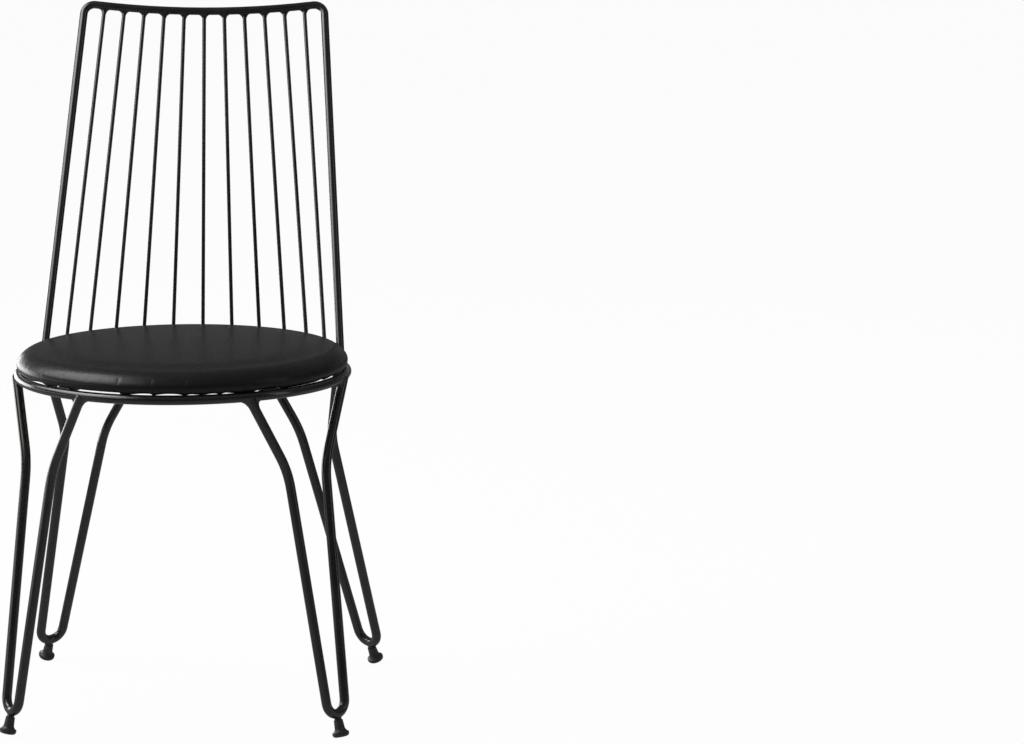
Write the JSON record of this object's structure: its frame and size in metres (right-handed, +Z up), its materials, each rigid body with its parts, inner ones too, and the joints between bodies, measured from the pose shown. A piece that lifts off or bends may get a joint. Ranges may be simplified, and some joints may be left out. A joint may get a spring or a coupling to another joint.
{
  "type": "side chair",
  "caption": "Black metal side chair: round padded seat on a bar ring, a reclined hoop back filled with thin spokes, and bent hairpin legs on screw-in glides.",
  "frame": {"origin": "on the floor, in the middle of the chair's footprint box", "axes": "+Z up, -Y to the front where the sitter faces, +X to the right as seen from the front"},
  "size_m": [0.4602, 0.4936, 0.8753],
  "materials": {
    "frame_paint": "satin black powder coat",
    "glide_plastic": "moulded black",
    "zinc_steel": "zinc plated",
    "plywood": "raw",
    "foam": "open-cell foam",
    "leatherette": "semi-matt black leatherette"
  },
  "bodies": {
    "frame": {"seat_ring": "frame_paint", "back_hoop": "frame_paint", "back_spoke_01": "frame_paint", "back_spoke_02": "frame_paint", "back_spoke_03": "frame_paint", "back_spoke_04": "frame_paint", "back_spoke_05": "frame_paint", "back_spoke_06": "frame_paint", "back_spoke_07": "frame_paint", "back_spoke_08": "frame_paint", "back_spoke_09": "frame_paint", "back_spoke_10": "frame_paint", "back_spoke_11": "frame_paint", "front_left_leg": "frame_paint", "front_left_stud": "frame_paint", "front_left_tab": "frame_paint", "front_right_leg": "frame_paint", "front_right_stud": "frame_paint", "front_right_tab": "frame_paint", "rear_left_leg": "frame_paint", "rear_left_stud": "frame_paint", "rear_left_tab": "frame_paint", "rear_right_leg": "frame_paint", "rear_right_stud": "frame_paint", "rear_right_tab": "frame_paint", "seat_screws": "zinc_steel", "seat_board": "plywood", "seat_foam": "foam", "seat_cover": "leatherette"},
    "front_left_glide": {"front_left_foot": "glide_plastic", "front_left_insert": "zinc_steel"},
    "front_right_glide": {"front_right_foot": "glide_plastic", "front_right_insert": "zinc_steel"},
    "rear_left_glide": {"rear_left_foot": "glide_plastic", "rear_left_insert": "zinc_steel"},
    "rear_right_glide": {"rear_right_foot": "glide_plastic", "rear_right_insert": "zinc_steel"}
  },
  "joints": [
    {"name": "front_left_level", "type": "slide", "parent": "frame", "child": "front_left_glide", "axis": [-0.1898, -0.1329, -0.9728], "range_m": [0, 0.005]},
    {"name": "front_right_level", "type": "slide", "parent": "frame", "child": "front_right_glide", "axis": [0.1898, -0.1329, -0.9728], "range_m": [0, 0.005]},
    {"name": "rear_left_level", "type": "slide", "parent": "frame", "child": "rear_left_glide", "axis": [-0.2588, 0.2884, -0.9219], "range_m": [0, 0.005]},
    {"name": "rear_right_level", "type": "slide", "parent": "frame", "child": "rear_right_glide", "axis": [0.2588, 0.2884, -0.9219], "range_m": [0, 0.005]}
  ]
}
